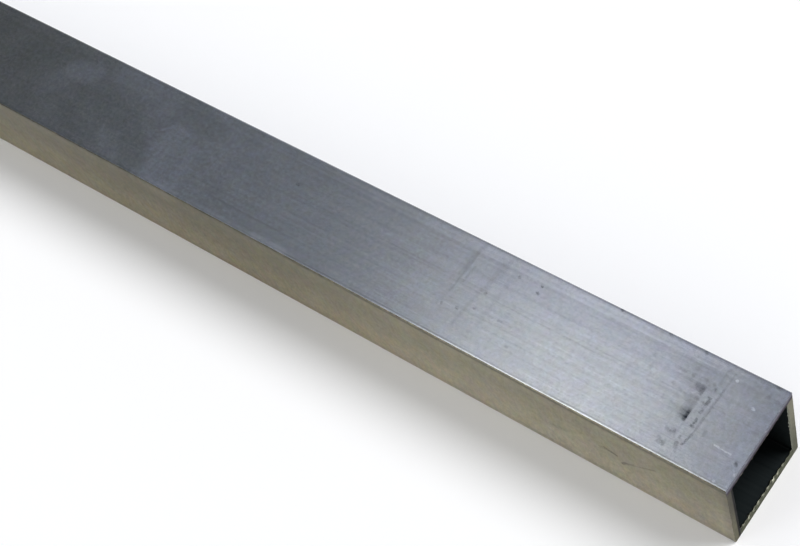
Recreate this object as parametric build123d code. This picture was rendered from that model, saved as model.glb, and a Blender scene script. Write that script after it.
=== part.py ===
from build123d import *

import os

# One straight length of square aluminium tube: 25 x 25 mm outside, 2 mm wall, 300 mm long.
#
# The tube is extruded in one piece, so it is one solid with no seam. A hollow square section,
# with small radii on its four outside and four inside corners, runs unchanged from end to end,
# and both ends are sawn square to it.
#
# +X runs along the tube, +Z is up, and the origin is the middle of the underside, so the tube
# lies on one of its flat sides. All sizes are in millimetres.

# Driving dimensions
LENGTH = 300.0  # end to end, one of the lengths that such tube is sold in
SIDE = 25.0  # outside width and height of the section
WALL = 2.0  # wall thickness, the same on all four sides
OUTSIDE_CORNER_RADIUS = 0.4  # where two outside faces meet
INSIDE_CORNER_RADIUS = 0.3  # where two faces of the bore meet

# Worked out from them
BORE = SIDE - 2 * WALL  # width and height of the square bore
FIRST_END = -LENGTH / 2  # the sawn end that faces -X
UNDERSIDE_TO_AXIS = SIDE / 2


def tube_section(at_x):
    """The hollow square section, drawn across the tube at at_x."""
    across_the_tube = Plane(origin=(at_x, 0, UNDERSIDE_TO_AXIS), x_dir=(0, 1, 0), z_dir=(1, 0, 0))
    with BuildSketch(across_the_tube) as section:
        RectangleRounded(SIDE, SIDE, OUTSIDE_CORNER_RADIUS)
        RectangleRounded(BORE, BORE, INSIDE_CORNER_RADIUS, mode=Mode.SUBTRACT)
    return section.sketch


def square_tube():
    """The section carried along +X from one sawn end to the other."""
    tube = extrude(tube_section(FIRST_END), amount=LENGTH, dir=(1, 0, 0))
    tube.label = "square_tube"
    return tube


os.makedirs("parts", exist_ok=True)
export_step(square_tube(), "parts/square_tube.step")
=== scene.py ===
"""The looks of one length of square aluminium tube: mill-finished faces, sawn ends and a dull bore, the ends
and the bore painted dark as shade.

The tube lies along X on a pale studio floor. Everything is in metres, in the frame of the CAD model.
"""

import math

import bpy
from mathutils import Matrix, Vector


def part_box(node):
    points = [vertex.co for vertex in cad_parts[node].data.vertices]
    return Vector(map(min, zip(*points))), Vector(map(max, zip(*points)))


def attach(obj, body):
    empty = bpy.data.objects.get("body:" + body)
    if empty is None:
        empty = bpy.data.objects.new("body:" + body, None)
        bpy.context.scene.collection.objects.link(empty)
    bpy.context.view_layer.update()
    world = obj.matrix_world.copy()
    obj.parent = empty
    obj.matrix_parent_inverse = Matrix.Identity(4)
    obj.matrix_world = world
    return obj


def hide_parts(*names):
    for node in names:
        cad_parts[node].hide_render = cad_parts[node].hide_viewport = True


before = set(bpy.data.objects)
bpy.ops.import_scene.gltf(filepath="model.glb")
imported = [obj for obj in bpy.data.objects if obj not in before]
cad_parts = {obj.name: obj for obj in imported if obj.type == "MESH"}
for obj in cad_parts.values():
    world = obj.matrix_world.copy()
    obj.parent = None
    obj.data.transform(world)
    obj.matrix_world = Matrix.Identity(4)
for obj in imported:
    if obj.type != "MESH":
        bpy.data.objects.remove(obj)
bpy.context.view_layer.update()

MM = 0.001

# ---------------- sizes of the tube

TUBE_NODE = "square_tube"
tube_low, tube_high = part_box(TUBE_NODE)
LENGTH = tube_high.x - tube_low.x
SIDE = tube_high.z - tube_low.z
AXIS_HEIGHT = (tube_high.z + tube_low.z) / 2
NEAR_END = tube_high.x  # the sawn end that faces +X
WALL = 2.0 * MM
OUTSIDE_CORNER_RADIUS = 0.4 * MM
INSIDE_CORNER_RADIUS = 0.3 * MM

DIE_LINE_DEPTH = 0.006 * MM
BROKEN_EDGE = 0.12 * MM
SAW_WOBBLE = 0.04 * MM
BURR_HEIGHT = 0.95 * MM
BURR_STEP = 0.11 * MM  # from one section of the burr to the next, round the bore
TOOTH_PITCH = 1.7 * MM  # from one lump of the burr to the next


# ---------------- node trees in few words

class Flow:
    """What comes out of a node. Arithmetic with it adds the nodes that work it out."""

    def __init__(self, tree, socket):
        self.tree = tree
        self.socket = socket
        self.is_vector = socket.type in ("VECTOR", "RGBA")

    def __add__(self, other):
        return work_out("ADD", self, other)

    def __sub__(self, other):
        return work_out("SUBTRACT", self, other)

    def __rsub__(self, other):
        return work_out("SUBTRACT", other, self)

    def __mul__(self, other):
        return multiply(self, other)

    def __truediv__(self, other):
        return work_out("DIVIDE", self, other)

    def __gt__(self, other):
        return work_out("GREATER_THAN", self, other)

    def __lt__(self, other):
        return work_out("LESS_THAN", self, other)

    def __abs__(self):
        return work_out("ABSOLUTE", self)


def tree_of(*values):
    """The tree that these values are in; plain numbers are in none."""
    return next(value.tree for value in values if isinstance(value, Flow))


def add_node(tree, kind, inputs, **settings):
    """Adds a node, sets it up, and fills its inputs with values or with what comes out of other nodes."""
    node = tree.nodes.new(kind)
    for setting, value in settings.items():
        setattr(node, setting, value)
    for name, value in inputs.items():
        if isinstance(value, Flow):
            tree.links.new(value.socket, node.inputs[name])
        else:
            node.inputs[name].default_value = value
    return node


def from_node(tree, kind, inputs, output=0, **settings):
    """Adds a node and gives what comes out of it."""
    return Flow(tree, add_node(tree, kind, inputs, **settings).outputs[output])


def is_vector(value):
    return value.is_vector if isinstance(value, Flow) else isinstance(value, tuple)


def work_out(operation, *values, output=0):
    """One step of arithmetic, on vectors where the first value is one."""
    kind = "ShaderNodeVectorMath" if is_vector(values[0]) else "ShaderNodeMath"
    return from_node(tree_of(*values), kind, dict(enumerate(values)), output, operation=operation)


def multiply(first, second):
    """A product; a vector times a number is scaled, which needs no conversion."""
    if is_vector(first) == is_vector(second):
        return work_out("MULTIPLY", first, second)
    vector, number = (first, second) if is_vector(first) else (second, first)
    inputs = {0: vector, "Scale": number}
    return from_node(tree_of(first, second), "ShaderNodeVectorMath", inputs, operation="SCALE")


def larger(first, second):
    return work_out("MAXIMUM", first, second)


def smaller(first, second):
    return work_out("MINIMUM", first, second)


def vector_of(x, y=0.0, z=0.0):
    return from_node(tree_of(x, y, z), "ShaderNodeCombineXYZ", {"X": x, "Y": y, "Z": z})


def parts_of(vector):
    """A vector's x, y and z."""
    node = add_node(vector.tree, "ShaderNodeSeparateXYZ", {"Vector": vector})
    return [Flow(vector.tree, socket) for socket in node.outputs]


def noise(vector, scale=1.0, detail=2.0, roughness=0.5, output="Fac"):
    """Smooth noise from 0 to 1."""
    inputs = {"Vector": vector, "Scale": scale, "Detail": detail, "Roughness": roughness}
    return from_node(vector.tree, "ShaderNodeTexNoise", inputs, output)


def wander(vector, scale, detail, roughness=0.5):
    """Noise about 0 in each of three parts."""
    return noise(vector, scale, detail, roughness, "Color") - (0.5, 0.5, 0.5)


def signed(value, strength):
    """Noise of 0 to 1 as a change of plus or minus that strength."""
    return (value - 0.5) * (2.0 * strength)


def fade(value, start, stop, low=0.0, high=1.0):
    """low before start, high after stop, and a smooth change between them."""
    inputs = {"Value": value, "From Min": start, "From Max": stop, "To Min": low, "To Max": high}
    return from_node(value.tree, "ShaderNodeMapRange", inputs, interpolation_type="SMOOTHSTEP")


def faded(value, *fades):
    """Several fades of one value, multiplied."""
    product = 1.0
    for each in fades:
        product = fade(value, *each) * product
    return product


def summed(value, *fades):
    """Several fades of one value, added."""
    total = 0.0
    for each in fades:
        total = fade(value, *each) + total
    return total


def blend(share, first, second):
    """The first colour where share is 0, the second where it is 1."""
    node = add_node(share.tree, "ShaderNodeMix", {}, data_type="RGBA")
    sockets = {socket.identifier: socket for socket in (*node.inputs, *node.outputs)}
    for identifier, value in {"Factor_Float": share, "A_Color": first, "B_Color": second}.items():
        if isinstance(value, Flow):
            share.tree.links.new(value.socket, sockets[identifier])
        else:
            sockets[identifier].default_value = (*value, 1.0)
    return Flow(share.tree, sockets["Result_Color"])


def lay_over(colour, *layers):
    """A colour with others laid over it in turn, each by its share."""
    for share, layer in layers:
        colour = blend(share, colour, layer)
    return colour


# ---------------- the tube's mesh

CORNER_STEPS = 8
FLAT_CUTS = 100  # on each outside flat, fine enough for the die lines
BORE_FLAT_CUTS = 20
STATIONS = 42  # sections along the length
END_REACH = 0.01 * MM  # what lies this near to an end belongs to its sawn face
WELD = 0.001 * MM
SHARP_ANGLE = math.radians(15)
SAWN_FACING = 0.6  # the x of a face's normal past which it is a sawn one
HALF_STEP = 0.5  # two whole numbers nearer than this are the same
# The section is drawn in XY. This turn lays it across the tube: its X to -Y, its Y to -Z.
ACROSS_THE_TUBE = Matrix(((0, 0, 1), (-1, 0, 0), (0, -1, 0))).to_euler()
TURN_ROUND = (0.0, 0.0, math.pi)
UNMOVED = (0.0, 0.0, 0.0)

# ripples a metre
DIE_LINE_RIPPLES = 900.0
BROKEN_EDGE_RIPPLES = 1500.0
SAW_RIPPLES = 250.0
TOOTH_RIPPLES = 300.0
FLAKE_RIPPLES = 700.0

# A fade is the two values between which it changes, and what it is before and after, or else 0 and 1.
BROKEN_SHARE = (0.3, 0.7, 0.4)  # how much noise leaves of the broken edge, and of the burr
FLAKE_SHARE = (0.35, 0.7, 0.65)
BURR_ON_LOWER_EDGE = (-9.2 * MM, -10.3 * MM)
BURR_ON_BACK_EDGE = (9.6 * MM, 10.4 * MM, 0.0, 0.5)
LEAST_BURR = 0.05
LUMP_DEPTH = 0.22  # half of what the dip between two lumps takes off the burr
TOOTH_SLIP = 4.0  # radians, at most, by which noise moves a lump
BURR_SECTION = {  # for a height of 1: its root in the wall, its tip towards the bore's middle
    "Point 1": (-0.5, -0.9, 0.0),
    "Point 2": (0.1, -0.7, 0.0),
    "Point 3": (1.0, -0.2, 0.0),
    "Point 4": (-0.5, 0.0, 0.0),
}

TUBE_SIZES = {
    "Length": LENGTH,
    "Side": SIDE,
    "Wall": WALL,
    "Outside Corner Radius": OUTSIDE_CORNER_RADIUS,
    "Inside Corner Radius": INSIDE_CORNER_RADIUS,
    "Axis Height": AXIS_HEIGHT,
    "Die Line Depth": DIE_LINE_DEPTH,
    "Broken Edge": BROKEN_EDGE,
    "Saw Wobble": SAW_WOBBLE,
    "Burr Height": BURR_HEIGHT,
}
TUBE_FINISHES = ("Drawn Finish", "Shaded Sawn Finish", "Shaded Bore Finish", "Burr Finish")


def new_tree(name, kind, inputs, output, output_kind):
    """A node group with these inputs, each of its kind of socket; gives the group and what comes in."""
    tree = bpy.data.node_groups.new(name, kind)
    for label, socket in inputs.items():
        tree.interface.new_socket(name=label, in_out="INPUT", socket_type="NodeSocket" + socket)
    tree.interface.new_socket(name=output, in_out="OUTPUT", socket_type="NodeSocket" + output_kind)
    outputs = tree.nodes.new("NodeGroupInput").outputs
    return tree, {label: Flow(tree, outputs[label]) for label in inputs}


def own_place(tree):
    """Each point's own position."""
    return from_node(tree, "GeometryNodeInputPosition", {})


def rounded_square(side, radius, cuts):
    """A closed square curve about the origin: each corner an arc, each flat divided by that many cuts."""
    tree = side.tree
    square = from_node(tree, "GeometryNodeCurvePrimitiveQuadrilateral", {"Width": side, "Height": side})
    inputs = {"Curve": square, "Radius": radius, "Count": CORNER_STEPS}
    rounded = from_node(tree, "GeometryNodeFilletCurve", inputs, mode="POLY")
    index = from_node(tree, "GeometryNodeInputIndex", {})
    place_in_corner = work_out("MODULO", index, CORNER_STEPS + 1.0)
    starts_a_flat = work_out("COMPARE", place_in_corner, float(CORNER_STEPS), HALF_STEP)
    inputs = {"Curve": rounded, "Cuts": starts_a_flat * float(cuts)}
    return from_node(tree, "GeometryNodeSubdivideCurve", inputs)


def join(*parts):
    """Several meshes or curves as one."""
    node = add_node(tree_of(*parts), "GeometryNodeJoinGeometry", {})
    for part in parts:
        part.tree.links.new(part.socket, node.inputs["Geometry"])
    return Flow(part.tree, node.outputs["Geometry"])


def sweep(rail, section, **scale):
    """The mesh of a section carried along a rail."""
    inputs = {"Curve": rail, "Profile Curve": section, **scale}
    return from_node(rail.tree, "GeometryNodeCurveToMesh", inputs)


def placed(geometry, move=UNMOVED, turn=UNMOVED):
    inputs = {"Geometry": geometry, "Translation": move, "Rotation": turn}
    return from_node(geometry.tree, "GeometryNodeTransform", inputs)


def move_points(geometry, which, positions):
    inputs = {"Geometry": geometry, "Selection": which, "Position": positions}
    return from_node(geometry.tree, "GeometryNodeSetPosition", inputs)


def give_material(geometry, material, which=True):
    inputs = {"Geometry": geometry, "Selection": which, "Material": material}
    return from_node(geometry.tree, "GeometryNodeSetMaterial", inputs)


def mark_parts(geometry, name, domain, value):
    """Writes a yes or no on each edge or face, under that name."""
    inputs = {"Geometry": geometry, "Name": name, "Value": value}
    settings = {"data_type": "BOOLEAN", "domain": domain}
    return from_node(geometry.tree, "GeometryNodeStoreNamedAttribute", inputs, **settings)


def line_with_end_stations(half_length, broken_edge):
    """The tube's axis, with one station just inside each end, where the broken edge starts."""
    tree = half_length.tree
    inputs = {"Start": vector_of(half_length * -1.0), "End": vector_of(half_length)}
    line = from_node(tree, "GeometryNodeCurvePrimitiveLine", inputs)
    line = from_node(tree, "GeometryNodeResampleCurve", {"Curve": line, "Count": STATIONS})
    index = from_node(tree, "GeometryNodeInputIndex", {})
    for station, side in ((1.0, -1.0), (STATIONS - 2.0, 1.0)):
        here = work_out("COMPARE", index, station, HALF_STEP)
        line = move_points(line, here, vector_of((half_length - broken_edge) * side))
    return line


def tube_body(size, outside, inside, half_length):
    """The four walls and both sawn faces, welded."""
    tree = half_length.tree
    line = line_with_end_stations(half_length, size["Broken Edge"])
    inner_wall = from_node(tree, "GeometryNodeFlipFaces", {"Mesh": sweep(line, inside)})
    sawn_face = from_node(tree, "GeometryNodeFillCurve", {"Curve": join(outside, inside)}, mode="TRIANGLES")
    near_face = placed(sawn_face, vector_of(half_length), ACROSS_THE_TUBE)
    body = join(sweep(line, outside), inner_wall, near_face, placed(near_face, turn=TURN_ROUND))
    return from_node(tree, "GeometryNodeMergeByDistance", {"Geometry": body, "Distance": WELD})


def roughen(body, size, mid_wall, half_length):
    """Draws the outside in by its die lines and broken edges, and makes the cuts a little uneven."""
    place = own_place(body.tree)
    reach_x, reach_y, reach_z = parts_of(abs(place))
    on_outside = larger(reach_y, reach_z) > mid_wall
    at_end = reach_x > half_length - END_REACH

    # the die draws one section all along the tube; the saw breaks its edge by more here and less there
    die_lines = noise(place * (0.0, 1.0, 1.0), DIE_LINE_RIPPLES, detail=3.0, roughness=0.6)
    broken = fade(noise(place, BROKEN_EDGE_RIPPLES), *BROKEN_SHARE)
    depth = die_lines * size["Die Line Depth"] + broken * size["Broken Edge"] * at_end
    share = 1.0 - depth / (size["Side"] * 0.5)
    body = move_points(body, on_outside, place * vector_of(1.0, share, share))

    share = 1.0 - noise(place, SAW_RIPPLES) * size["Saw Wobble"] / half_length
    return move_points(body, at_end, place * vector_of(share, 1.0, 1.0))


def burr_ring(bore_curve, half_length, burr_height):
    """The ragged fin that the saw leaves round the bore at the +X end, highest along its lower edge."""
    tree = bore_curve.tree
    inputs = {"Curve": bore_curve, "Length": BURR_STEP}
    rail = from_node(tree, "GeometryNodeResampleCurve", inputs, mode="LENGTH")
    rail = placed(rail, vector_of(half_length), ACROSS_THE_TUBE)
    place = own_place(tree)
    inputs = {"Curve": rail, "Normal": place * (0.0, -1.0, -1.0)}
    rail = from_node(tree, "GeometryNodeSetCurveNormal", inputs, mode="FREE")
    _, across, up = parts_of(place)
    share = larger(fade(up, *BURR_ON_LOWER_EDGE), fade(across, *BURR_ON_BACK_EDGE)) + LEAST_BURR
    # one lump for each tooth that broke through, no two alike
    turn = noise(place, TOOTH_RIPPLES) * TOOTH_SLIP + (across + up) * (2 * math.pi / TOOTH_PITCH)
    lumps = work_out("SINE", turn) * LUMP_DEPTH + (1.0 - LUMP_DEPTH)
    flakes = fade(noise(place, FLAKE_RIPPLES, detail=1.0), *FLAKE_SHARE)
    fin = from_node(tree, "GeometryNodeCurvePrimitiveQuadrilateral", BURR_SECTION, mode="POINTS")
    return sweep(rail, fin, Scale=flakes * lumps * share * burr_height)


def finish_tube(tube, size, mid_wall, up):
    """Gives each face its finish: drawn outside, dull and painted dark as shade in the bore, sawn and painted
    darker as shade at the ends, torn on the burr.
    """
    tree = tube.tree
    facing = parts_of(abs(from_node(tree, "GeometryNodeInputNormal", {}, "Normal")))[0]
    _, off_y, off_z = parts_of(abs(own_place(tree) - up))
    inputs = {"Name": "is_burr"}
    is_burr = from_node(tree, "GeometryNodeInputNamedAttribute", inputs, "Attribute", data_type="BOOLEAN")
    tube = give_material(tube, size["Drawn Finish"])
    tube = give_material(tube, size["Shaded Bore Finish"], larger(off_y, off_z) < mid_wall)
    tube = give_material(tube, size["Shaded Sawn Finish"], facing > SAWN_FACING)
    return give_material(tube, size["Burr Finish"], is_burr)


def tube_tree():
    """A square tube along X: its section swept along its axis, with die lines, sawn ends and a burr."""
    inputs = {**dict.fromkeys(TUBE_SIZES, "Float"), **dict.fromkeys(TUBE_FINISHES, "Material")}
    tree, size = new_tree("extruded_square_tube", "GeometryNodeTree", inputs, "Tube", "Geometry")
    half_length = size["Length"] * 0.5
    bore = size["Side"] - size["Wall"] * 2.0
    mid_wall = bore * 0.5 + size["Wall"] * 0.5

    outside = rounded_square(size["Side"], size["Outside Corner Radius"], FLAT_CUTS)
    inside = rounded_square(bore, size["Inside Corner Radius"], BORE_FLAT_CUTS)
    body = roughen(tube_body(size, outside, inside, half_length), size, mid_wall, half_length)
    near_burr = burr_ring(inside, half_length, size["Burr Height"])
    burrs = mark_parts(join(near_burr, placed(near_burr, turn=TURN_ROUND)), "is_burr", "FACE", True)

    angle = from_node(tree, "GeometryNodeInputMeshEdgeAngle", {}, "Unsigned Angle")
    tube = from_node(tree, "GeometryNodeSetShadeSmooth", {"Geometry": join(body, burrs)})
    tube = mark_parts(tube, "sharp_edge", "EDGE", angle > SHARP_ANGLE)
    up = vector_of(0.0, 0.0, size["Axis Height"])
    tube = from_node(tree, "GeometryNodeRealizeInstances", {"Geometry": placed(tube, up)})
    add_node(tree, "NodeGroupOutput", {"Tube": finish_tube(tube, size, mid_wall, up)})
    return tree


def mesh_from_tree(name, tree, values):
    """Runs a geometry tree with these input values and gives its result as a plain object."""
    host = bpy.data.objects.new(name + "_tree", bpy.data.meshes.new(name + "_tree"))
    bpy.context.scene.collection.objects.link(host)
    modifier = host.modifiers.new("tree", "NODES")
    modifier.node_group = tree
    for item in tree.interface.items_tree:
        if item.in_out == "INPUT":
            modifier[item.identifier] = values[item.name]
    graph = bpy.context.evaluated_depsgraph_get()
    mesh = bpy.data.meshes.new_from_object(host.evaluated_get(graph))
    if mesh.materials[0] is None:
        mesh.materials.pop(index=0)
    bpy.data.objects.remove(host)
    piece = bpy.data.objects.new(name, mesh)
    bpy.context.scene.collection.objects.link(piece)
    return piece


# ---------------- marks on the drawn faces

# Every place on the outside is given on the tube unrolled, in mm: first from 0 at the near end to -300 at
# the far one, then round the tube from the middle of the top. The front face runs from -12.5 at its upper
# edge to -37.5 at its lower one.

# where a die line lies round the tube, half its width, and how much lighter or darker it draws
DIE_LINES = [
    (11, 0.45, 0.075), (9.9, 0.3, 0.07), (3.5, 0.7, 0.035), (0.1, 0.3, 0.02), (-1.9, 0.2, 0.04),
    (-3.2, 0.3, 0.04), (-4.7, 0.2, 0.03), (-6.6, 0.2, 0.025), (-10.5, 0.2, 0.035),
    (12.1, 0.4, -0.12), (9, 0.35, -0.055), (4.8, 0.25, -0.04), (1.8, 0.2, -0.045), (0.9, 0.2, -0.045),
    (-1.2, 0.2, -0.02), (-4.1, 0.15, -0.04), (-5.9, 0.15, -0.055), (-8, 0.15, -0.04), (-9.4, 0.2, -0.03),
    (-12.05, 0.22, -0.2),
    (-14.4, 0.4, -0.04), (-19, 1.2, -0.02), (-24.5, 0.8, 0.02), (-30.5, 1.6, 0.03),
    (-36.2, 0.6, -0.12), (16, 0.5, 0.04), (20.5, 0.4, -0.05), (27, 0.8, 0.04), (33, 0.5, -0.04),
    (42, 0.6, 0.04), (48.5, 0.5, -0.05), (-44, 0.7, -0.04), (-55, 0.5, 0.05),
]

# a mark goes from one place to another: half its width, how softly it ends, and its strength
DARK_MARKS = [
    # the score that the saw left when it slipped, and its turn at the front
    ((-11.55, 10.5), (-11.75, 6), 0.08, 0.3, 0.2), ((-11.75, 6), (-12, -1), 0.12, 0.3, 0.28),
    ((-12, -1), (-12.15, -5), 0.1, 0.28, 0.27), ((-12.15, -5.3), (-12.7, -8), 0.12, 0.28, 0.4),
    ((-13.2, 10.5), (-13.2, 7.2), 0.1, 0.35, 0.18), ((-15, 7), (-15, -7.5), 0.03, 0.3, 0.1),
    # crumbs of dirt between the two lines
    ((-13.4, 5.8), (-13.2, 5.4), 0.12, 0.35, 0.36), ((-13.6, 3.4), (-13, 3.3), 0.08, 0.3, 0.5),
    ((-13.1, 2.8), (-13.2, 1.8), 0.16, 0.4, 0.52), ((-13.9, 2), (-13.7, 1.7), 0.1, 0.35, 0.26),
    ((-13.2, 0.4), (-13.3, -0.3), 0.12, 0.4, 0.38), ((-13.1, -2), (-13, -2.4), 0.14, 0.3, 0.5),
    ((-13.2, -2.8), (-13.1, -3), 0.12, 0.3, 0.48), ((-13.4, -3.6), (-12.9, -3.7), 0.12, 0.3, 0.54),
    ((-13.9, -6.6), (-13.9, -7), 0.1, 0.35, 0.28), ((-13.9, -8.2), (-13.5, -9.2), 0.2, 0.45, 0.32),
    ((-13.5, -9.2), (-13.2, -10), 0.1, 0.4, 0.22), ((-14.2, 6.4), (-13.9, 6.2), 0.12, 0.4, 0.22),
    ((-12.9, 10.9), (-13, 10.4), 0.1, 0.4, 0.18), ((-13, 7), (-13.1, 6.8), 0.1, 0.4, 0.2),
    # rubbed smudges
    ((-15.35, -0.9), (-15.3, -3.2), 0.15, 0.55, 0.36), ((-15.7, 4.9), (-15.6, 3.9), 0.15, 0.7, 0.27),
    ((-16.9, 4.9), (-16.2, 4.4), 0.2, 0.7, 0.2), ((-15.5, 3.4), (-15.4, 3.2), 0.1, 0.35, 0.26),
    ((-15.8, 2.2), (-15.3, 2.1), 0.1, 0.35, 0.22), ((-19.8, 2.2), (-18, 2), 0.06, 0.3, 0.12),
    ((-18, 1.5), (-16, 1.4), 0.06, 0.3, 0.1), ((-17, 2.1), (-16, 2), 0.08, 0.3, 0.17),
    ((-16.2, 1.4), (-16, -0.6), 0.5, 1.2, 0.1), ((-15.9, 6.6), (-15.5, 6.3), 0.15, 0.6, 0.17),
    ((-16.2, -6.5), (-15.6, -6.2), 0.15, 0.5, 0.28), ((-17.2, -6.5), (-16.2, -6.8), 0.08, 0.5, 0.18),
    ((-17.6, -8.9), (-16.8, -9.2), 0.1, 0.5, 0.21), ((-16.4, -9.4), (-16.1, -9.9), 0.15, 0.45, 0.34),
    ((-17.4, -9.7), (-16.8, -10), 0.1, 0.45, 0.2), ((-16.1, -8.8), (-15.9, -9.2), 0.05, 0.45, 0.17),
    ((-21.9, 6.3), (-20.6, 6.1), 0.08, 0.4, 0.18), ((-18.8, 6.4), (-18.7, 6.1), 0.15, 0.5, 0.22),
    ((-19.2, 7.8), (-18.7, 7.9), 0.1, 0.5, 0.15), ((-18.9, 5.2), (-18.6, 5), 0.1, 0.5, 0.14),
    ((-17.2, 6.1), (-16.9, 6), 0.05, 0.5, 0.1), ((-27.4, 4.8), (-27.3, 3.4), 0.1, 0.5, 0.14),
    ((-28.2, 6.6), (-28, 6.2), 0.1, 0.5, 0.1), ((-21.6, 2.9), (-21.2, 2.8), 0.08, 0.4, 0.12),
    ((-10.1, -3.4), (-10.1, -4.4), 0.15, 0.45, 0.18), ((-3.2, 9.9), (-3.3, 9.1), 0.15, 0.45, 0.2),
    ((-1.6, -6.3), (-1.2, -6.7), 0.15, 0.35, 0.6), ((-1.9, 1.3), (-1.5, 1), 0.15, 0.6, 0.18),
    ((-4, 2.3), (-3.7, 2.2), 0.1, 0.5, 0.1), ((-3.6, -2.6), (-3.5, -3.2), 0.1, 0.6, 0.12),
    ((-1.4, 9), (-0.9, 8.9), 0.15, 0.6, 0.14), ((-4.8, 11.3), (-4.3, 11.2), 0.15, 0.5, 0.15),
    ((-21.4, -9.6), (-21.3, -9.8), 0.08, 0.4, 0.14), ((-25.2, -2.2), (-24.6, -2.2), 0.06, 0.4, 0.1),
    # nicks along the back edge
    ((-39.8, 12.2), (-39.4, 12.1), 0.15, 0.3, 0.5), ((-27.9, 12.1), (-27.6, 12), 0.15, 0.35, 0.4),
    ((-19.5, 12.1), (-19.1, 11.7), 0.15, 0.35, 0.38), ((-2.9, 12.1), (-2.3, 12.1), 0.2, 0.35, 0.5),
    # pits
    ((-57.8, 8.7), (-57.6, 8.65), 0.12, 0.3, 0.45), ((-57.8, 7), (-57.6, 6.9), 0.16, 0.3, 0.5),
    ((-68.9, 1.5), (-68.8, 1.5), 0.1, 0.35, 0.26), ((-67.7, 1.4), (-67.5, 1.45), 0.12, 0.35, 0.34),
    ((-67.7, -2.8), (-67.5, -2.8), 0.12, 0.35, 0.28), ((-71.1, -4.5), (-70.9, -4.6), 0.15, 0.35, 0.38),
    ((-74.9, -4.9), (-74.7, -5.3), 0.1, 0.35, 0.26), ((-63.4, -2.8), (-62.8, -2.8), 0.1, 0.35, 0.1),
    ((-61.3, -2.75), (-60.6, -2.65), 0.1, 0.35, 0.22), ((-63.5, 8.4), (-63.3, 8.2), 0.12, 0.35, 0.34),
    ((-80.9, 5.1), (-80.5, 5.1), 0.1, 0.35, 0.12), ((-58.4, -2.8), (-57.9, -2.85), 0.08, 0.35, 0.12),
    ((-56.4, -7.1), (-56, -7.1), 0.1, 0.4, 0.2), ((-76, -3), (-75.4, -3), 0.08, 0.3, 0.14),
    ((-74.4, -3), (-72.8, -2.9), 0.06, 0.3, 0.12), ((-123.2, 4.3), (-122.8, 4.3), 0.18, 0.4, 0.42),
    # lines that a clamp or a stack left across
    ((-74.4, 12), (-75.1, 8.2), 0.1, 0.7, 0.16), ((-75.1, 8.2), (-75.3, 3), 0.2, 0.9, 0.11),
    ((-74.9, 4.6), (-75, -1.8), 0.08, 0.35, 0.17), ((-75.1, -0.5), (-75.7, -5.2), 0.15, 0.7, 0.09),
    ((-73.5, 5.8), (-73.7, 1.6), 0.1, 0.4, 0.15),
    ((-68.1, 9.3), (-68.3, 1.9), 0.3, 0.8, 0.12), ((-69, 2), (-69.8, -8.2), 0.15, 0.6, 0.11),
    ((-67.2, 10.8), (-67.1, 6), 0.15, 0.6, 0.11), ((-64.6, 8.5), (-64.8, -5), 0.2, 0.8, 0.07),
    ((-60.2, 2), (-60.1, -10), 0.12, 0.5, 0.05), ((-140, -8), (-120, -8.1), 0.1, 0.2, 0.12),
    # where the front ridge is painted dull, as a painted dark reflection
    ((-84, -12.55), (-77, -12.55), 0.15, 0.3, 0.16), ((-124, -12.5), (-116, -12.5), 0.1, 0.3, 0.12),
    # scuffs on the front face
    ((-31, -24.4), (-29, -24), 0.3, 0.6, 0.2), ((-29.8, -23.8), (-27.2, -24.6), 0.3, 0.4, 0.5),
    ((-26, -27.3), (-25.2, -26.3), 0.25, 0.4, 0.54), ((-25.2, -26.3), (-22.8, -25), 0.12, 0.45, 0.34),
    ((-22.8, -25), (-21, -24), 0.1, 0.35, 0.2), ((-20.6, -23.7), (-17.4, -21.7), 0.08, 0.4, 0.36),
    ((-43, -27), (-40, -25.6), 0.3, 0.9, 0.17), ((-39.5, -25.4), (-33.5, -21.8), 0.15, 0.6, 0.08),
    # and on the faces at the back and underneath
    ((-150, 24), (-136, 27), 0.1, 0.3, 0.25), ((-90, 31), (-88, 24), 0.12, 0.3, 0.22),
    ((-40, 45), (-38, 56), 0.12, 0.4, 0.25), ((-210, -48), (-180, -45), 0.15, 0.4, 0.2),
]
BRIGHT_MARKS = [
    ((-10.65, 9.3), (-10.5, 9.25), 0.18, 0.25, 0.62), ((-4.7, 5.5), (-4.5, 5.4), 0.18, 0.25, 0.5),
    ((-7.2, -5), (-6, -5.1), 0.08, 0.18, 0.55), ((-5.8, -5.15), (-5, -5.1), 0.04, 0.16, 0.36),
    ((-4.8, -5.2), (-3.4, -5.15), 0.07, 0.17, 0.52), ((-0.6, -8.5), (-0.5, -8.8), 0.12, 0.22, 0.28),
    ((-1.2, -7.7), (-1, -7.9), 0.05, 0.2, 0.25), ((-3.4, -11.7), (-3.1, -11.7), 0.12, 0.2, 0.36),
    ((-0.7, -11.2), (-0.5, -11.5), 0.08, 0.2, 0.14), ((-11.6, 9.4), (-12.4, -5.3), 0.03, 0.12, 0.06),
    ((-21.8, 5.7), (-21.3, 5.5), 0.08, 0.3, 0.12), ((-17, 2.9), (-16, 2.75), 0.08, 0.35, 0.12),
    ((-14.5, 11.2), (-14.3, 11.1), 0.08, 0.3, 0.12), ((-26.6, 3.5), (-26.2, 3.2), 0.1, 0.6, 0.06),
    ((-179, 0.5), (-179.1, -3), 0.05, 0.35, 0.06), ((-179.1, -3), (-177.8, -6.6), 0.08, 0.35, 0.12),
    ((-60.2, 13.5), (-59.8, 14.5), 0.1, 0.2, 0.4), ((-124, -11.7), (-115, -11.5), 0.4, 0.8, 0.16),
]
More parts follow.
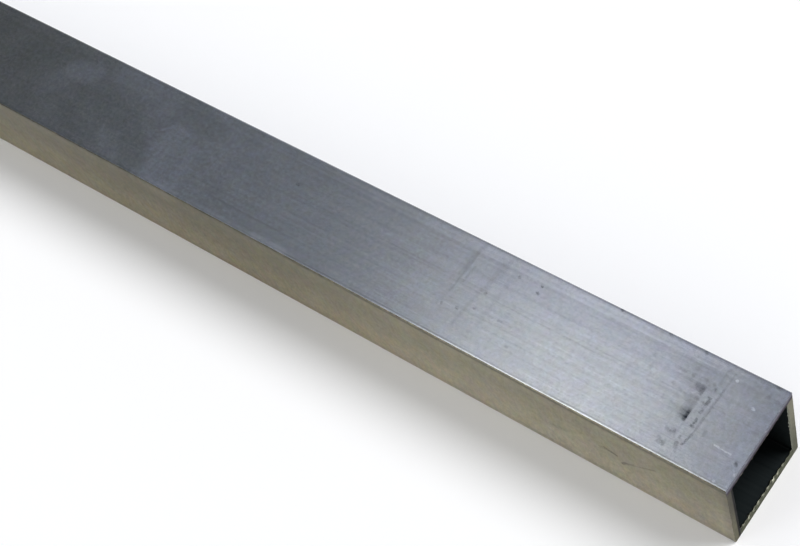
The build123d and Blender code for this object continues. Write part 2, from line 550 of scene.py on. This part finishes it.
# patches of old polish and thumb grease, paler and bluer than the rest
PALE_PATCHES = [
    ((-197, 4.5), (-192, 6), 2.2, 2.4, 0.18), ((-202, -2.5), (-198, 1.5), 1.2, 2.4, 0.11),
    ((-184, 9.5), (-173, 9), 1.6, 2.6, 0.14), ((-168.5, 10), (-167, 6), 1.2, 2.2, 0.11),
    ((-178, -7), (-175.5, -8.5), 0.8, 2, 0.1), ((-159.5, 0.5), (-156, -3), 2.9, 0.9, 0.13),
    ((-156.5, -3), (-154.5, -12), 4.5, 3.2, 0.17), ((-147, 4), (-140, 4), 3, 4, 0.05),
    ((-163.6, 2), (-160.5, 3.6), 0.15, 0.6, 0.19), ((-160.5, 3.6), (-156.5, 3.2), 0.15, 0.6, 0.19),
    ((-23, 4), (-26.5, 3), 1, 2.5, 0.05), ((-120, -2), (-112, -4), 2, 5, 0.03),
]
# and duller, greener ones
DULL_PATCHES = [
    ((-188, -1), (-174, 0), 2.4, 3, 0.12), ((-190, -7), (-182, -9), 2.5, 3, 0.1),
    ((-169.5, -4), (-165.5, -10), 2, 2.2, 0.14), ((-161, 9), (-151, 7), 1.6, 2.5, 0.09),
    ((-213, 2), (-207, 8), 3, 4, 0.1), ((-5, 10.5), (-1, 9), 1.5, 3, 0.06),
    ((-203, 6), (-201, 9), 1.5, 2.5, 0.08), ((-16.5, 7), (-16.5, -3), 0.5, 4, 0.06),
    ((-20, 8), (-18, 7), 1, 2.5, 0.05),
    ((-13.5, 6), (-13.5, -9), 0.3, 1.2, 0.04), ((-3, 8), (-2, 0), 1, 3, 0.04),
    ((-9, -8), (-7, -9), 1, 2.5, 0.03), ((-29, -7.5), (-27, -8.5), 0.8, 2.5, 0.03),
]
# a smear stops dead at one place along the tube and fades towards the far end:
# that place, the middle of its width, half its width, its length and its strength
SMEARS = [
    (-15, -2, 2.2, 3, 0.5), (-15, -1.9, 1.6, 7.5, 0.19), (-15.05, 4.2, 1.6, 4, 0.36),
    (-15.05, 2.2, 1, 3.4, 0.14), (-15.05, 0.6, 1.4, 3.6, 0.18), (-15.1, -6.6, 0.8, 3, 0.2),
    (-74.5, 6, 5.5, 3.4, 0.13),
]
SHARP_SIDE = (-0.12, 0.1)  # mm over which a smear's sharp side comes in
LINE_CORE = 0.2  # the share of a line's or a smear's half width over which it is at its full strength
STREAKS = (0.3, 0.65, 0.65, 1.15)
MARK_INPUTS = {
    "Sheet": "Vector", "From": "Vector", "To": "Vector",
    "Half Width": "Float", "Softness": "Float", "Strength": "Float", "Before": "Float",
}
NEVER_ZERO = 0.0001


def mark_group():
    """One mark on the unrolled tube: 1 along a line between two places, and 0 away from it."""
    tree, mark = new_tree("mark", "ShaderNodeTree", MARK_INPUTS, "After", "Float")
    whole = mark["To"] - mark["From"]
    out = mark["Sheet"] - mark["From"]
    length_squared = work_out("DOT_PRODUCT", whole, whole, output="Value") + NEVER_ZERO
    share = work_out("DOT_PRODUCT", out, whole, output="Value") / length_squared
    nearest = whole * larger(smaller(share, 1.0), 0.0)
    distance = work_out("DISTANCE", out, nearest, output="Value")
    edge = mark["Half Width"] + mark["Softness"]
    strength = fade(distance, edge, mark["Half Width"], high=mark["Strength"])
    add_node(tree, "NodeGroupOutput", {"After": larger(mark["Before"], strength)})
    return tree


def draw_marks(sheet, group, marks):
    """All these marks together; where two cross, the stronger one shows."""
    total = 0.0
    for start, stop, half_width, softness, strength in marks:
        inputs = {
            "Sheet": sheet, "From": (*start, 0.0), "To": (*stop, 0.0),
            "Half Width": half_width, "Softness": softness, "Strength": strength, "Before": total,
        }
        total = from_node(sheet.tree, "ShaderNodeGroup", inputs, "After", node_tree=group)
    return total


def draw_smears(spot):
    """Smears with one sharp side, drawn out into streaks along the tube."""
    total = 0.0
    for place, middle, half_width, length, strength in SMEARS:
        tail = faded(place - spot.along, (length, 0.0), SHARP_SIDE)
        off = abs(spot.around - middle)
        total = tail * fade(off, half_width, LINE_CORE * half_width, high=strength) + total
    streaks = stretched_noise(spot.sheet, along=0.3, around=2.6)
    return total * fade(streaks, *STREAKS)


def draw_die_lines(around):
    """The lines that the die leaves all along the tube: above 0 where it is lighter, below where darker."""
    total = 0.0
    for place, half_width, strength in DIE_LINES:
        off = abs(around - place)
        total = fade(off, 2 * half_width, LINE_CORE * half_width, high=strength) + total
    return total


# ---------------- where a point of the tube lies

HALF_SIDE = SIDE / 2 / MM
HALF_BORE = (SIDE / 2 - WALL) / MM


def tube_place(tree):
    """A point's place in mm: from the near end, and across and up from the tube's axis."""
    place = from_node(tree, "ShaderNodeTexCoord", {}, "Object")
    return (place - (NEAR_END, 0.0, AXIS_HEIGHT)) * (1 / MM)


class Spot:
    """A point of the outside: its place on the tube unrolled, in mm, and which faces it is on, as 0 or 1."""

    def __init__(self, tree):
        self.along, across, self.up = parts_of(tube_place(tree))
        self.on_side = abs(across) > abs(self.up)
        bottom_step = -4 * HALF_SIDE - across * 2.0
        flat_round = (self.up < 0.0) * bottom_step + across
        side_round = work_out("SIGN", across) * (2 * HALF_SIDE - self.up)
        self.around = self.on_side * (side_round - flat_round) + flat_round
        self.sheet = vector_of(self.along, self.around)
        self.on_front = self.on_side * (self.around < 0.0)
        self.on_back = self.on_side - self.on_front
        # the grain is coarser round the front face
        self.grain = self.sheet * vector_of(1.0, self.on_front * -0.5 + 1.0)


def stretched_noise(sheet, along, around, detail=2.0, roughness=0.5):
    """Noise of that many ripples a mm along the tube and round it."""
    return noise(sheet * (along, around, 1.0), 1.0, detail, roughness)


# ---------------- the drawn finish

# Fades along the tube or round it, in mm: where each starts and stops, and then its values there.
LINES_KEPT = [(-85, -130, 1.1, 0.6), (-56, -46, 1, 1.3), (-10.5, -16, 0.65)]
LINES_KEPT_ON_BACK = 1.8
FRESH_LINES = (0.3, 0.7, 0.7, 1.5)
BROKEN_LINES = (0.3, 0.7, 0.5, 1.4)
SPECKLED = [(-60, -45, 0.31, 0.39), (-115, -150, 0, 0.2)]
SPECKLED_ON_FRONT = [(-60, -130, 0.22, 0.42), (-232, -285, 1, 0)]
LESS_ON_BACK = -0.2
# painted highlight along both ridges of the top: where it lies round the tube, its width, how noise breaks
# it, and how it changes along the tube
RIDGE_HIGHLIGHT = 12.78
RIDGE_HIGHLIGHT_WIDTH = (0.5, 0.25)
RIDGE_HIGHLIGHT_BREAKS = (0.36, 0.62, -0.12, 0.28)
RIDGE_HIGHLIGHT_ALONG = [
    (-32, -10, 0, -0.34), (-40, -75, 0, -0.26), (-100, -130, 0, 0.1),
    (-150, -180, 0, -0.08),
]
# painted pale reflection along the back ridge
BACK_RIDGE = 12.4
BACK_RIDGE_WIDTH = (0.7, 0.2)
BACK_RIDGE_REFLECTION = (-80, -140, 0, 0.4)
# painted dark reflection just under the front ridge: where its edge lies, its width and how dark it is
DARK_REFLECTION_EDGE = (-70, -130, -13.07, -12.6)
DARK_REFLECTION_WIDTH = [(-0.1, 0.2), (1.5, 0.7)]
DARK_REFLECTION_DEPTH = (-85, -125, -0.5, -0.4)
PALE_STRIP_ROUND = [(-10.8, -11.8), (-12.9, -12.5)]
PALE_STRIP_ALONG = [(-104, -118), (-170, -155)]
PALE_STRIP_STRENGTH = 0.14
SHAKE = (0.44, 0.44, 0)  # mm by which a mark strays, and next a patch
DRIFT = (5, 5, 0)
PATCH_STRENGTH = 0.75
PATCH_TINT = 3
GRIT = (0.32, 0.62, 0.5, 1.1)
FLECKS = (0.4, 0.6, 0.45, 1.35)

TARNISHED_PLACE = (-150, -215, 0, 0.8)
COOL_PLACE_ROUND = (0.5, 6)
COOL_PLACE_ALONG = [(-95, -60), (-9, -16)]
CUT_END_PLACE = (-7, -2)
# where the painted warm reflection on the front face darkens, as painted shade, and where it ends
WARM_REFLECTION_DARKENS = (-58, -138)
WARM_REFLECTION_ENDS = (-232, -285)
TINT_DEEPENS = (-60, -130)
# where the painted shade high on the front face and the painted light low down fade, along the tube and up
# it, and the painted shade at the sawn end
UPPER_SHADE_FADES = (-60, -150)
LOWER_LIGHT_FADES = (-45, -100)
SHADE_TO_LIGHT = (9, -13)
FRONT_END_SHADE = [(-16, -3, 1, 0.89), (-2.8, -0.2, 1, 0.64)]

WHITE = (1.0, 1.0, 1.0)
CLEAN = (0.618, 0.627, 0.65)
TARNISHED = (0.555, 0.565, 0.55)
COOL = (0.575, 0.583, 0.627)
CUT_END = (0.637, 0.655, 0.7)
PALE = (0.612, 0.625, 0.675)
DULL = (0.6, 0.623, 0.597)
# painted shade: the back face darker than the top
SHADED_BACK_FACE = (0.43, 0.432, 0.43)
DIRT = (0.02, 0.026, 0.036)
# the painted warm reflection on the front face: near the sawn end, further on, and past its end
WARM_REFLECTION_NEAR = (0.478, 0.44, 0.337)
WARM_REFLECTION_FAR = (0.297, 0.267, 0.183)
WARM_REFLECTION_GONE = (0.4, 0.396, 0.378)
# how deep the drifting tints are in red, green and blue
TINT = (0.15, 0.12, 0.26)
FRONT_TINT_NEAR = (0.34, 0.25, 0.69)
FRONT_TINT_FAR = (0.5, 0.358, 0.93)
FRONT_TINT_GONE = (0.2, 0.16, 0.28)
# painted shade high on the front face and painted light low down: what the painted reflection's colour is
# multiplied by
UPPER_SHADE_NEAR = (0.62, 0.62, 0.565)
UPPER_SHADE_FAR = (0.52, 0.523, 0.486)
LOWER_LIGHT_NEAR = (1.14, 1.14, 1.145)
LOWER_LIGHT_FAR = (1.23, 1.2, 1.165)

DRAWN_ROUGHNESS = 0.22
MORE_ROUGH_ON_FRONT = 0.12
MORE_ROUGH_IN_DIRT = 0.15
ALONG_THE_GRAIN = 0.7
HAIRLINE_DEPTH = 0.002 * MM


def metal_tone(spot, hairlines):
    """The tone as a share of the bare metal's: lines, rubbed out at the sawn end and dirty at the far one."""
    fresh = fade(stretched_noise(spot.sheet, along=0.02, around=0.4), *FRESH_LINES)
    bands = stretched_noise(spot.sheet, along=0.006, around=1.1, detail=3.0, roughness=0.65)
    lines = draw_die_lines(spot.around) * fresh + signed(bands, strength=0.06)
    lines = lines + signed(hairlines, strength=0.12)
    broken = fade(stretched_noise(spot.sheet, along=0.12, around=2.0), *BROKEN_LINES)
    scuffs = stretched_noise(spot.sheet, along=0.6, around=4.0)
    lines = lines * broken + signed(scuffs, strength=0.06)
    tone = lines * larger(faded(spot.along, *LINES_KEPT), spot.on_back * LINES_KEPT_ON_BACK) + 1.0

    depth = summed(spot.along, *SPECKLED) + spot.on_back * LESS_ON_BACK
    depth = depth + spot.on_front * faded(spot.along, *SPECKLED_ON_FRONT)
    speckle = signed(noise(spot.grain, detail=4.0, roughness=0.85), strength=1.0)
    mottle = signed(noise(spot.sheet, scale=0.14, detail=3.0), strength=0.3)
    return (speckle + mottle) * depth + tone


def ridge_tone(spot, tone):
    """The same tone with a painted highlight along the ridges, broken in some places and not in others."""
    # painted highlight along both ridges, broken up by noise
    on_ridge = fade(abs(abs(spot.around) - RIDGE_HIGHLIGHT), *RIDGE_HIGHLIGHT_WIDTH)
    rubbed = fade(stretched_noise(spot.sheet, along=2.2, around=0.2, roughness=0.7), *RIDGE_HIGHLIGHT_BREAKS)
    tone = on_ridge * (rubbed + summed(spot.along, *RIDGE_HIGHLIGHT_ALONG)) + tone

    # a painted dark reflection lies along the front face just under the front ridge
    dark_reflection = faded(fade(spot.along, *DARK_REFLECTION_EDGE) - spot.around, *DARK_REFLECTION_WIDTH)
    tone = dark_reflection * fade(spot.along, *DARK_REFLECTION_DEPTH) + tone

    # above it the top is rubbed paler for some way
    strip = faded(spot.around, *PALE_STRIP_ROUND) * faded(spot.along, *PALE_STRIP_ALONG)
    tone = strip * PALE_STRIP_STRENGTH + tone

    # and a painted pale reflection lies along the back ridge, stronger towards the far end
    on_back_ridge = fade(abs(spot.around - BACK_RIDGE), *BACK_RIDGE_WIDTH)
    return on_back_ridge * fade(spot.along, *BACK_RIDGE_REFLECTION) + tone


def handling_marks(spot):
    """Dark marks, bright ones, pale patches and dull ones, on shaken places so that no line is ruled."""
    group = mark_group()
    shaken = spot.sheet + wander(spot.sheet, scale=1.4, detail=2.0) * SHAKE
    dark = draw_marks(shaken, group, DARK_MARKS)
    bright = draw_marks(shaken, group, BRIGHT_MARKS)
    drifted = spot.sheet + wander(spot.sheet, scale=0.16, detail=3.0) * DRIFT
    pale = draw_marks(drifted, group, PALE_PATCHES)
    dull = draw_marks(drifted, group, DULL_PATCHES)
    grit = fade(noise(spot.sheet, scale=2.6, detail=3.0, roughness=0.6), *GRIT)
    dark = dark * grit + draw_smears(spot)
    bright = bright * fade(noise(spot.sheet, scale=5.0, detail=1.0), *FLECKS)
    return smaller(dark, 1.0), bright, pale, dull


def painted_warm_reflection(spot):
    """Painted reflection of a warm room on the front face, with painted shade: lighter near the sawn end,
    darker further on, gone at the far end.
    """
    warm_reflection = blend(fade(spot.along, *WARM_REFLECTION_DARKENS), WARM_REFLECTION_NEAR, WARM_REFLECTION_FAR)
    return blend(fade(spot.along, *WARM_REFLECTION_ENDS), warm_reflection, WARM_REFLECTION_GONE)


def front_painted_shade(spot):
    """Painted shade and light on the front face: darker high on the face, lighter low down, and darker at the
    sawn end.
    """
    upper = blend(fade(spot.along, *UPPER_SHADE_FADES), UPPER_SHADE_NEAR, UPPER_SHADE_FAR)
    lower = blend(fade(spot.along, *LOWER_LIGHT_FADES), LOWER_LIGHT_NEAR, LOWER_LIGHT_FAR)
    painted_shading = blend(fade(spot.up, *SHADE_TO_LIGHT), upper, lower) * faded(spot.along, *FRONT_END_SHADE)
    return blend(spot.on_front, WHITE, painted_shading)


def metal_colour(spot, pale, dull):
    """Bare metal on the top, warmer or cooler from place to place; painted shade darkens the back face, and a
    painted warm reflection lies on the front face.
    """
    cool = fade(spot.around, *COOL_PLACE_ROUND) * faded(spot.along, *COOL_PLACE_ALONG)
    colour = lay_over(
        CLEAN,
        (fade(spot.along, *TARNISHED_PLACE), TARNISHED),
        (cool, COOL),
        (fade(spot.along, *CUT_END_PLACE), CUT_END),
        (pale * PATCH_TINT, PALE),
        (dull * PATCH_TINT, DULL),
        (spot.on_side, SHADED_BACK_FACE),
        (spot.on_front, painted_warm_reflection(spot)),
    )
    front_tint = blend(fade(spot.along, *TINT_DEEPENS), FRONT_TINT_NEAR, FRONT_TINT_FAR)
    front_tint = blend(fade(spot.along, *WARM_REFLECTION_ENDS), front_tint, FRONT_TINT_GONE)
    tint = wander(spot.grain, scale=0.4, detail=4.0, roughness=0.65)
    tint = tint * blend(spot.on_front, TINT, front_tint) + WHITE
    return colour * tint * front_painted_shade(spot)


def new_material(name):
    """A material with one metal shader; gives the material, its tree and the shader."""
    material = bpy.data.materials.new(name)
    material.use_nodes = True
    shader = material.node_tree.nodes["Principled BSDF"]
    shader.inputs["Metallic"].default_value = 1.0
    return material, material.node_tree, shader


def dress(shader, colour, rough, relief, depth):
    """Gives a shader its colour, its roughness, as a number or a flow, and a relief of that depth."""
    tree = colour.tree
    tree.links.new(colour.socket, shader.inputs["Base Color"])
    if isinstance(rough, Flow):
        tree.links.new(rough.socket, shader.inputs["Roughness"])
    else:
        shader.inputs["Roughness"].default_value = rough
    bump = add_node(tree, "ShaderNodeBump", {"Height": relief, "Distance": depth, "Strength": 1.0})
    tree.links.new(bump.outputs["Normal"], shader.inputs["Normal"])


def drawn_finish():
    """Mill finish: bright bands and lines along the tube, with the scores and smudges of handling."""
    material, tree, shader = new_material("drawn_aluminium")
    spot = Spot(tree)
    hairlines = stretched_noise(spot.sheet, along=0.02, around=4.5, detail=3.0, roughness=0.75)
    tone = ridge_tone(spot, metal_tone(spot, hairlines))
    dark, bright, pale, dull = handling_marks(spot)
    tone = (pale - dull) * PATCH_STRENGTH + tone + bright
    colour = blend(dark, metal_colour(spot, pale, dull) * tone, DIRT)
    rough = spot.on_front * MORE_ROUGH_ON_FRONT + dark * MORE_ROUGH_IN_DIRT + DRAWN_ROUGHNESS
    dress(shader, colour, signed(hairlines, strength=0.05) + rough, hairlines, HAIRLINE_DEPTH)
    shader.inputs["Anisotropic"].default_value = ALONG_THE_GRAIN
    tangent = add_node(tree, "ShaderNodeTangent", {}, direction_type="RADIAL", axis="X")
    tree.links.new(tangent.outputs["Tangent"], shader.inputs["Tangent"])
    return material


# ---------------- the other finishes

DULL_AT_A_GLANCE = (0.6, 0.6, 0.6, 1.0)  # for rough metal, which gains little shine at a low angle

# Across the tube and up, in mm from its axis: where each part of the sawn faces begins, and is reached.
PAST_BORE = (HALF_BORE - 0.3, HALF_BORE + 0.2)
IN_FRONT_OF_BORE = (0.3 - HALF_BORE, -0.2 - HALF_BORE)
ROLLED_EDGE = (HALF_BORE + 0.4, HALF_BORE + 1.4)
LOW_DOWN = (6.0, -8.0)
RIM_WIDTH = (0.75, 0.35)
RIM_TOP = (HALF_BORE + 0.1, HALF_BORE - 0.5)
SAWN_ROUGHNESS = 0.45
TOOTH_DEPTH = 0.03 * MM
# painted shade: the sawn faces far darker than bare metal, over each wall's own tint, the top wall darkest
GREY_GREEN = (0.108, 0.116, 0.07)
BROWNISH = (0.11, 0.102, 0.079)
OLIVE = (0.17, 0.16, 0.108)
STRAW = (0.255, 0.245, 0.182)
DARK_STRAW = (0.145, 0.147, 0.104)
PURPLISH = (0.052, 0.034, 0.064)
BLUISH = (0.22, 0.225, 0.262)
SHADED_RIM = (0.004, 0.004, 0.005)

TORN_PARTS = (0.42, 0.7)
TORN_ROUGHNESS = 0.4
TORN_DEPTH = 0.05 * MM
BEAD_WIDTH = (0.5, 0.2)
SHADED_CORNER = (-9.7, -10.2)
TORN_DULL = (0.085, 0.09, 0.055)
TORN_BARE = (0.21, 0.22, 0.15)
TORN_BRIGHT = (0.8, 0.8, 0.62)
TORN_DARK = (0.008, 0.008, 0.008)
BEADS = [  # where the burr is torn bright along the lower edge, in mm across the tube, and how bright
    (-8.9, 0.3), (-7.0, 1.0), (-5.1, 0.4), (-3.3, 0.5), (-1.2, 0.3), (0.6, 0.35), (2.7, 1.0), (4.4, 0.5),
    (6.6, 0.3),
]

BACK_OF_BORE = (HALF_BORE - 0.4, HALF_BORE - 0.1)
ABOVE_BORE_FLOOR = (0.2 - HALF_BORE, 2.0 - HALF_BORE)
BORE_ROUGHNESS = 0.5
BORE_LINE_DEPTH = 0.02 * MM
# painted shade: the bore's near-black colours
BORE_SHADE_DARK = (0.014, 0.02, 0.022)
BORE_SHADE_PALE = (0.025, 0.03, 0.031)
# painted light on the bore's back wall
BORE_BACK_PAINTED_LIGHT = 1.4  # by how much more the bore's back wall shines


def shaded_sawn_finish():
    """The saw's fine lines across each wall; what the teeth rubbed is darker, and the walls' colours are
    painted shade.
    """
    material, tree, shader = new_material("shaded_sawn_aluminium")
    place = tube_place(tree)
    _, across, up = parts_of(place)
    front_wall = fade(across, *IN_FRONT_OF_BORE)
    low_down = fade(up, *LOW_DOWN)
    # the front wall's rim is shaded beside the bore
    rim = fade(-HALF_BORE - across, *RIM_WIDTH) * front_wall * fade(up, *RIM_TOP)
    colour = lay_over(
        GREY_GREEN,
        (front_wall, blend(low_down, BROWNISH, OLIVE)),
        (fade(across, *PAST_BORE), blend(low_down, STRAW, DARK_STRAW)),
        (fade(up, *PAST_BORE), PURPLISH),
        (fade(up, *ROLLED_EDGE), BLUISH),
        (rim, SHADED_RIM),
    )
    teeth = noise(place * (1.0, 0.5, 6.0), detail=3.0, roughness=0.6)
    tone = signed(teeth, strength=0.35) + signed(noise(place, scale=0.9), strength=0.3) + 1.0
    dress(shader, colour * tone, signed(teeth, strength=0.12) + SAWN_ROUGHNESS, teeth, TOOTH_DEPTH)
    shader.inputs["Specular Tint"].default_value = DULL_AT_A_GLANCE
    return material


def burr_finish():
    """Torn metal, dull but for a few bright beads."""
    material, tree, shader = new_material("torn_aluminium")
    place = tube_place(tree)
    torn = noise(place, scale=2.6, detail=3.0, roughness=0.6)
    across = parts_of(place)[1]
    beads = 0.0
    for middle, strength in BEADS:
        beads = larger(fade(abs(across - middle), *BEAD_WIDTH, high=strength), beads)
    colour = lay_over(
        TORN_DULL,
        (fade(torn, *TORN_PARTS), TORN_BARE),
        (beads, TORN_BRIGHT),
        (fade(across, *SHADED_CORNER), TORN_DARK),
    )
    dress(shader, colour, TORN_ROUGHNESS, torn, TORN_DEPTH)
    return material


def shaded_bore_finish():
    """The bore's unpolished skin, painted near-black as shade and lighter on its back wall as painted light,
    with its own die lines.
    """
    material, tree, shader = new_material("shaded_bore_aluminium")
    place = tube_place(tree)
    _, across, up = parts_of(place)
    lines = noise(place * (0.02, 1.6, 1.6), detail=3.0)
    on_back = fade(across, *BACK_OF_BORE) * fade(up, *ABOVE_BORE_FLOOR)
    colour = blend(lines, BORE_SHADE_DARK, BORE_SHADE_PALE) * (on_back * BORE_BACK_PAINTED_LIGHT + 1.0)
    dress(shader, colour, signed(lines, strength=0.15) + BORE_ROUGHNESS, lines, BORE_LINE_DEPTH)
    shader.inputs["Specular Tint"].default_value = DULL_AT_A_GLANCE
    return material


# ---------------- the studio

HALF_FLOOR = 20.0
FLOOR_COLOUR = (0.917, 0.921, 0.938)
FLOOR_COLOUR_SEEN = (0.975, 0.985, 1.0)  # where it is looked at, straight or in a reflection


def direction(x, y, z):
    return Vector((x, y, z)).normalized()


def lay_floor():
    """A wide pale floor that the tube lies on."""
    half = HALF_FLOOR
    corners = [(-half, -half, 0.0), (half, -half, 0.0), (half, half, 0.0), (-half, half, 0.0)]
    mesh = bpy.data.meshes.new("floor")
    mesh.from_pydata(corners, [], [(0, 1, 2, 3)])
    floor = bpy.data.objects.new("floor", mesh)
    bpy.context.scene.collection.objects.link(floor)
    material = bpy.data.materials.new("pale_floor")
    material.use_nodes = True
    tree = material.node_tree
    shader = tree.nodes["Principled BSDF"]
    rays = tree.nodes.new("ShaderNodeLightPath").outputs
    looked_at = 0.0
    for kind in ("Is Camera Ray", "Is Glossy Ray", "Is Transmission Ray"):
        looked_at = larger(Flow(tree, rays[kind]), looked_at)
    colour = blend(looked_at, FLOOR_COLOUR, FLOOR_COLOUR_SEEN)
    tree.links.new(colour.socket, shader.inputs["Base Color"])
    shader.inputs["Roughness"].default_value = 0.9
    shader.inputs["Specular IOR Level"].default_value = 0.0
    mesh.materials.append(material)
    return floor


SUN_TOWARDS = direction(0.34, 0.43, 0.84)
SUN_STRENGTH = 2.1
SUN_ANGLE = math.radians(30.0)
SUN_COLOUR = (1.0, 0.99, 0.98)


def hang_sun():
    """A soft, distant lamp, up and behind the tube."""
    lamp = bpy.data.lights.new("key_lamp", "SUN")
    lamp.energy = SUN_STRENGTH
    lamp.angle = SUN_ANGLE
    lamp.color = SUN_COLOUR
    holder = bpy.data.objects.new("key_lamp", lamp)
    holder.matrix_world = SUN_TOWARDS.to_track_quat("Z", "Y").to_matrix().to_4x4()
    bpy.context.scene.collection.objects.link(holder)


# The world is given by directions: X along the tube, Y towards the back, Z up.
WINDOW_MIDDLE = -0.372  # the strip window arches over the tube where a direction's X is this
RAMP_MIDDLE = 0.5
ACROSS_THE_WINDOW = [  # how far off that X, and the grey of the room there
    (-0.35, (0.079, 0.084, 0.087)),
    (-0.265, (0.133, 0.145, 0.165)),
    (-0.18, (0.157, 0.173, 0.196)),
    (-0.12, (0.183, 0.200, 0.232)),
    (0.02, (0.215, 0.230, 0.262)),
    (0.13, (0.214, 0.228, 0.288)),
]
WINDOW_COLOUR = (0.63, 0.66, 0.70)
WINDOW_SIDES = [(-0.137, 0.015), (0.122, 0.0)]
WINDOW_FOOT = (-0.9, -0.8)
WINDOW_SLOPE = -3.7  # how its gain changes with Y, and the gain overhead
WINDOW_OVERHEAD = 2.3
LEAST_GAIN = 0.6
MOST_GAIN = 1.9
LOW_WINDOW_GAIN = (-0.12, -0.4, 0.0, 1.3)
ROOM_FOOT = (-0.8, -0.9)
ROOM_FOOT_COLOUR = (0.12, 0.105, 0.085)
LIGHT_FALLS = (0.375, 0.295)
NEAR_WINDOW = (-0.085, -0.02)
BACK_LIGHT = (0.72, 0.735, 0.785)
FRONT_LIGHT = (1.27, 1.245, 1.165)
LAMP_TOWARDS = direction(0.5, -0.55, 0.67)
LAMP_RIM = (math.cos(math.radians(42)), math.cos(math.radians(28)))
LAMP_LOW_PART = (0.25, 0.55, 0.35)
LAMP_COLOUR = (1.03, 0.99, 0.92)
HORIZON_HEIGHT = (0.35, 0.1)
HORIZON_SIDE = (-0.3, 0.0)
HORIZON_COLOUR = (0.5, 0.49, 0.47)


def room_colour(off_window):
    """The greys of the room, from one side of the window to the other."""
    ramp = add_node(off_window.tree, "ShaderNodeValToRGB", {"Fac": off_window + RAMP_MIDDLE})
    stops = ramp.color_ramp.elements
    stops.remove(stops[1])
    for number, (off, colour) in enumerate(ACROSS_THE_WINDOW):
        stop = stops[0] if number == 0 else stops.new(off + RAMP_MIDDLE)
        stop.position = off + RAMP_MIDDLE
        stop.color = (*colour, 1.0)
    return Flow(off_window.tree, ramp.outputs["Color"])


def light_world():
    """A grey room: a cool strip window runs over the tube, and a wide warm lamp stands in front."""
    world = bpy.data.worlds.new("studio")
    bpy.context.scene.world = world
    world.use_nodes = True
    tree = world.node_tree
    backdrop = tree.nodes["Background"]
    towards = from_node(tree, "ShaderNodeTexCoord", {}, "Generated")
    x, y, z = parts_of(towards)
    off_window = x - WINDOW_MIDDLE

    # the window: brighter towards the front, down to the front horizon
    in_window = faded(off_window, *WINDOW_SIDES) * fade(y, *WINDOW_FOOT)
    gain = smaller(larger(y * WINDOW_SLOPE + WINDOW_OVERHEAD, LEAST_GAIN), MOST_GAIN)
    window = in_window * (gain + fade(y, *LOW_WINDOW_GAIN)) * WINDOW_COLOUR
    colour = blend(fade(y, *ROOM_FOOT), room_colour(off_window), ROOM_FOOT_COLOUR) + window

    # the window's light falls off towards the back, the red in it first
    light = blend(fade(y, *LIGHT_FALLS), BACK_LIGHT, FRONT_LIGHT)
    colour = colour * blend(fade(off_window, *NEAR_WINDOW), WHITE, light)

    lamp = work_out("DOT_PRODUCT", towards, tuple(LAMP_TOWARDS), output="Value")
    in_lamp = fade(lamp, *LAMP_RIM) * fade(z, *LAMP_LOW_PART)
    near_horizon = fade(z, *HORIZON_HEIGHT) * fade(y, *HORIZON_SIDE)
    colour = lay_over(colour, (in_lamp, LAMP_COLOUR), (near_horizon, HORIZON_COLOUR))
    tree.links.new(colour.socket, backdrop.inputs["Color"])
    backdrop.inputs["Strength"].default_value = 1.0


CAMERA_AZIMUTH = math.radians(57.03)
CAMERA_ELEVATION = math.radians(55.35)
CAMERA_ROLL = math.radians(-24.26)
CAMERA_TARGET = Vector((57.3 * MM, 0.0, 15.9 * MM))
CAMERA_DISTANCE = 394.75 * MM
CAMERA_LENS = 79.12
CAMERA_SENSOR = 36.0
NEAREST_SEEN = 0.01
FURTHEST_SEEN = 100.0


def set_camera():
    """A camera that looks down along the tube from beyond its near end."""
    sideways = Vector((math.sin(CAMERA_AZIMUTH), -math.cos(CAMERA_AZIMUTH), 0.0))
    back = sideways * math.cos(CAMERA_ELEVATION) + Vector((0.0, 0.0, math.sin(CAMERA_ELEVATION)))
    level = Vector((math.cos(CAMERA_AZIMUTH), math.sin(CAMERA_AZIMUTH), 0.0))
    upward = back.cross(level)
    right = level * math.cos(CAMERA_ROLL) + upward * math.sin(CAMERA_ROLL)
    up = upward * math.cos(CAMERA_ROLL) - level * math.sin(CAMERA_ROLL)
    place = CAMERA_TARGET + back * CAMERA_DISTANCE
    camera = bpy.data.cameras.new("camera")
    camera.sensor_width = CAMERA_SENSOR
    camera.lens = CAMERA_LENS
    camera.clip_start = NEAREST_SEEN
    camera.clip_end = FURTHEST_SEEN
    holder = bpy.data.objects.new("camera", camera)
    holder.matrix_world = Matrix((
        (right.x, up.x, back.x, place.x),
        (right.y, up.y, back.y, place.y),
        (right.z, up.z, back.z, place.z),
        (0.0, 0.0, 0.0, 1.0),
    ))
    bpy.context.scene.collection.objects.link(holder)
    bpy.context.scene.camera = holder


# ---------------- making it all

set_camera()
bpy.context.scene.view_settings.view_transform = "Standard"
lay_floor()
light_world()
hang_sun()

finishes = dict(zip(TUBE_FINISHES, (drawn_finish(), shaded_sawn_finish(), shaded_bore_finish(), burr_finish())))
tube = mesh_from_tree("aluminium_square_tube", tube_tree(), {**TUBE_SIZES, **finishes})
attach(tube, "root")
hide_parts(TUBE_NODE)
